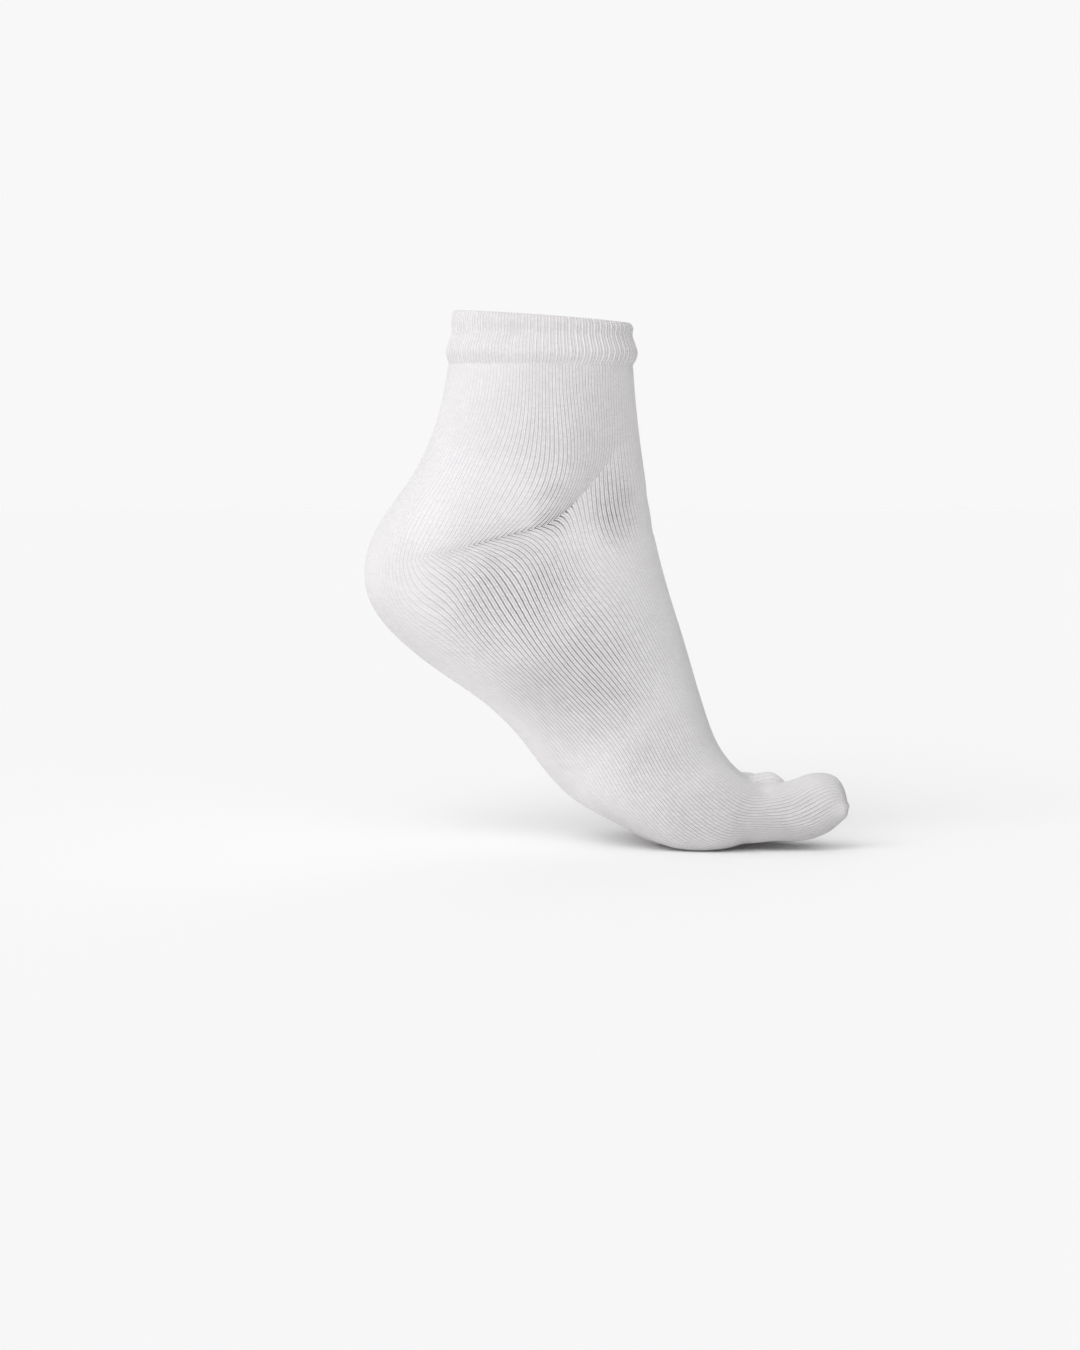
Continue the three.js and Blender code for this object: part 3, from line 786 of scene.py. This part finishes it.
def gore_shape(n, x, z):
    """How far above the heel's joining line a place is."""
    past_bend = n.math("SUBTRACT", x, GORE_BEND[0])
    curve = n.math("POWER", n.math("MAXIMUM", past_bend, 0.0), GORE_RISE_POWER)
    line = n.math("MULTIPLY_ADD", past_bend, GORE_SLOPE, GORE_BEND[1])
    line = n.math("ADD", line, n.math("MULTIPLY", curve, GORE_RISE))
    return n.math("SUBTRACT", z, line)


def bent_wales(n, wale, x, y, above):
    """The wales bent on both sides of the heel's joining line, the other way round on the outer side."""
    from_heel = n.ramp(x, HEEL_BACK, GORE_START)
    shift = 0.0
    for bend in rows(BENDS, BEND_COLUMNS):
        away = n.math("MAXIMUM", n.math("MULTIPLY", above, bend["side"] / bend["reach"]), 0.0)
        fade = n.math("EXPONENT", n.math("SUBTRACT", 1.0, away))
        part = n.math("MULTIPLY", n.math("MULTIPLY", away, fade), -bend["size"] / WALE_PITCH)
        here = n.math("MULTIPLY", from_heel, n.ramp(x, bend["gone_at"], bend["full_to"]))
        shift = n.math("MULTIPLY_ADD", part, here, shift)
    side = n.math("MAXIMUM", n.math("MINIMUM", n.math("DIVIDE", y, -SIDE_FULL), 1.0), -1.0)
    return n.math("ADD", wale, n.math("MULTIPLY", shift, side))


def near_gore_line(n, x, y, above):
    """How near to the open stitches of the heel's joining line a place is, from 0 to 1."""
    away = n.math("POWER", n.math("DIVIDE", above, GORE_WIDTH), 2.0)
    near = n.math("EXPONENT", n.math("MULTIPLY", away, -1.0))
    near = n.math("MULTIPLY", near, n.ramp(x, GORE_OPEN_FROM, GORE_OPEN_TO))
    near = n.math("MULTIPLY", near, n.ramp(x, GORE_SHUT_TO, GORE_SHUT_FROM))
    near = n.math("MULTIPLY", near, n.ramp(x, GORE_HALF_OPEN, GORE_FULL_OPEN, 0.5, 1.0))
    return n.math("MULTIPLY", near, n.ramp(n.math("ABSOLUTE", y), GORE_SIDE_FROM, GORE_SIDE_TO))


def stitch_shape(n, wale, course):
    """The height of the knit, from 0 in a groove to 1 on a leg of yarn, and each stitch's own profile."""
    across = n.math("MULTIPLY", n.math("ABSOLUTE", n.math("SUBTRACT", n.math("FRACT", wale), 0.5)), 2.0)
    off_leg = n.math("DIVIDE", n.math("SUBTRACT", across, LEG_AT), LEG_REACH)
    leg = n.math("SUBTRACT", 1.0, n.math("POWER", off_leg, 2.0))
    slant = n.math("FRACT", n.math("SUBTRACT", course, n.math("MULTIPLY", across, LEG_SLANT)))
    loop = n.math("POWER", n.math("SINE", n.math("MULTIPLY", slant, math.pi)), LOOP_POWER)
    rounded = n.math("MULTIPLY_ADD", loop, LOOP_RELIEF, 1 - LOOP_RELIEF)
    return n.math("MULTIPLY", leg, rounded, clamp=True), loop


def add_relief(n, height, depth):
    """Lets the knit's height show as a relief of a given depth."""
    relief = n.new("ShaderNodeBump")
    relief.inputs["Strength"].default_value = 1.0
    relief.inputs["Distance"].default_value = depth
    n.link(height, relief.inputs["Height"])
    n.link(relief.outputs[0], n.shader.inputs["Normal"])


def knit_material(name, depth, least_gap_shade, with_heel):
    """Stitches in columns: each wale is two slanted legs of yarn, with gaps beside the stretched ones; the
    gaps and the grooves are painted with shade.
    """
    material = bpy.data.materials.new(name)
    n = Nodes(material)
    place = n.new("ShaderNodeTexCoord").outputs["Object"]
    wale, course, _ = n.parts(n.new("ShaderNodeUVMap", uv_map="knit").outputs[0])
    if with_heel:
        x, y, z = n.parts(n.scaled(place, METRE))
        above = gore_shape(n, x, z)
        near_gore = near_gore_line(n, x, y, above)
        wale = bent_wales(n, wale, x, y, above)
    wobble = n.math("MULTIPLY", n.math("SUBTRACT", n.noise(FINE_NOISE, place), 0.5), WOBBLE)
    wale = n.math("ADD", wale, wobble)
    course = n.math("ADD", course, wobble)
    height, loop = stitch_shape(n, wale, course)

    stretched = n.new("ShaderNodeAttribute", attribute_name="gaps").outputs["Fac"]
    lively = n.math("MULTIPLY_ADD", stretched, LIVELY_MORE, LIVELY_CALM, clamp=True)
    raised = n.math("MULTIPLY_ADD", stretched, RELIEF_MORE, RELIEF_CALM, clamp=True)
    fuzz = n.math("MULTIPLY", n.math("SUBTRACT", n.noise(FINE_NOISE, place, FUZZ_DETAIL), 0.5), FUZZ)
    fuzz = n.math("MULTIPLY", fuzz, lively)
    add_relief(n, n.math("ADD", n.math("MULTIPLY", height, raised), fuzz), depth)

    # Painted shade: the stretched gaps and the grooves between the legs of yarn are coloured towards the
    # dark gap shade.
    uneven = n.math("MULTIPLY_ADD", n.noise(PATCH_NOISE, place), OPEN_MORE, OPEN_LEAST)
    open_here = n.math("MULTIPLY", stretched, uneven)
    open_here = n.math("MULTIPLY_ADD", open_here, 1.0 - least_gap_shade, least_gap_shade, clamp=True)
    groove_shade = n.ramp(height, GROOVE_SHADE_FROM, GROOVE_SHADE_TO)
    if with_heel:
        gore_groove_shade = n.ramp(height, GORE_SHADE_FROM, GORE_SHADE_TO)
        open_here = n.math("ADD", near_gore, open_here, clamp=True)
        groove_shade = n.math("MULTIPLY_ADD", near_gore, gore_groove_shade, groove_shade, clamp=True)
    holes = n.math("MULTIPLY_ADD", loop, HOLE_MORE, HOLE_LEAST)
    gap_shade = n.math("MULTIPLY", n.math("MULTIPLY", groove_shade, open_here), holes, clamp=True)

    tint = n.ramp(n.noise(TINT_NOISE, place), TINT_FROM, TINT_TO, 0.0, TINT_MOST)
    stitch = n.math("MULTIPLY", n.random(n.math("FLOOR", wale), n.math("FLOOR", course)), lively)
    yarn = n.mix(n.math("ADD", tint, n.math("MULTIPLY", stitch, STITCH_TINT)), YARN, YARN_THIN)
    # The yarn, darkened towards the painted gap shade in the gaps and grooves.
    n.link(n.mix(gap_shade, yarn, GAP_SHADE), n.shader.inputs["Base Color"])
    roughness = n.math("MULTIPLY_ADD", n.noise(ROUGH_NOISE, place), ROUGHNESS_MORE, ROUGHNESS)
    n.link(roughness, n.shader.inputs["Roughness"])
    n.set_inputs(CLOTH_SHADER)
    return material


def floor_material(name, tone):
    """A plain matt surface without a shine."""
    material = bpy.data.materials.new(name)
    n = Nodes(material)
    n.set_inputs({"Base Color": (tone, tone, tone, 1), "Roughness": 1.0, "Specular IOR Level": 0.0})
    return material


def make_floor():
    height = (FLOOR_Z - FLOOR_BELOW) * MM
    bpy.ops.mesh.primitive_plane_add(size=FLOOR_SIZE, location=(0, 0, height))
    floor = bpy.context.object
    floor.name = "floor"
    floor.data.materials.append(floor_material("pale floor", FLOOR_TONE))
    return floor


def make_studio():
    """Even light from all round, darker overhead towards the sides."""
    world = bpy.data.worlds.new("studio")
    bpy.context.scene.world = world
    n = Nodes(world, "Background")
    sideways, _, upwards = n.parts(n.new("ShaderNodeTexCoord").outputs["Generated"])
    left = n.ramp(sideways, LEFT_FROM, LEFT_TO, 0, LEFT_DARKER)
    right = n.ramp(sideways, RIGHT_FROM, RIGHT_TO, 0, RIGHT_DARKER)
    overhead = n.ramp(upwards, OVERHEAD_FROM, OVERHEAD_TO)
    darker = n.math("MULTIPLY", n.math("ADD", left, right), overhead)
    n.link(n.math("SUBTRACT", BACKGROUND, darker), n.shader.inputs["Strength"])
    n.set_inputs({"Color": (1, 1, 1, 1)})


def add_aimed(name, data, heading):
    """An object for a light or camera that points along a heading."""
    thing = bpy.data.objects.new(name, data)
    thing.rotation_mode = "QUATERNION"
    thing.rotation_quaternion = heading.to_track_quat("-Z", "Y")
    bpy.context.collection.objects.link(thing)
    return thing


def make_lights():
    for light in rows(LIGHTS, LIGHT_COLUMNS):
        lamp = bpy.data.lights.new(light["name"], "SUN")
        lamp.energy = light["energy"]
        lamp.angle = math.radians(light["width"])
        add_aimed(light["name"], lamp, Vector(light["heading"]))


def make_camera():
    """A camera that shows the part's origin at the pixel where the picture has it."""
    width, height = PICTURE
    target = Vector(((width / 2 - ORIGIN_AT[0]) * PIXEL, 0, (ORIGIN_AT[1] - height / 2) * PIXEL))
    eye = Vector((target.x, -VIEW_DISTANCE, FLOOR_Z * MM + VIEW_HEIGHT))
    lens = bpy.data.cameras.new("camera")
    lens.sensor_width = SENSOR
    lens.lens = SENSOR * (target - eye).length / (height * PIXEL)
    lens.dof.use_dof = False
    lens.clip_start = NEAREST
    lens.clip_end = FARTHEST
    camera = add_aimed("camera", lens, target - eye)
    camera.location = eye
    bpy.context.scene.camera = camera


# The sock's pieces
skin = Skin()
front = make_body(skin)
bridges = make_bridges(skin, front)
tips = [make_toe(skin, t, front, bridges) for t in range(len(TOE_ROWS))]
fine = smooth_mesh(skin)
lean_wales(fine)
crease(fine, tips)
store_stretch(fine, tips)
sock = bpy.data.objects.new("sock_knit", fine)
bpy.context.collection.objects.link(sock)
thicken(sock, CLOTH)
welt = make_welt()

plain = knit_material("plain knit", PLAIN_DEPTH, PLAIN_GAP_SHADE, with_heel=True)
ribbed = knit_material("rib knit", RIB_DEPTH, RIB_GAP_SHADE, with_heel=False)

for piece, nodes, material, slot in (
    (sock, ("leg_and_foot", *TOES), plain, "plain_knit"),
    (welt, ("welt",), ribbed, "ribbed_knit"),
):
    shade_smooth(piece)
    piece.data.materials.clear()
    piece.data.materials.append(material)
    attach(piece, "root")
    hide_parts(*nodes)

# Floor, light and camera
floor = make_floor()
make_studio()
make_lights()
make_camera()
bpy.context.scene.view_settings.view_transform = "Standard"
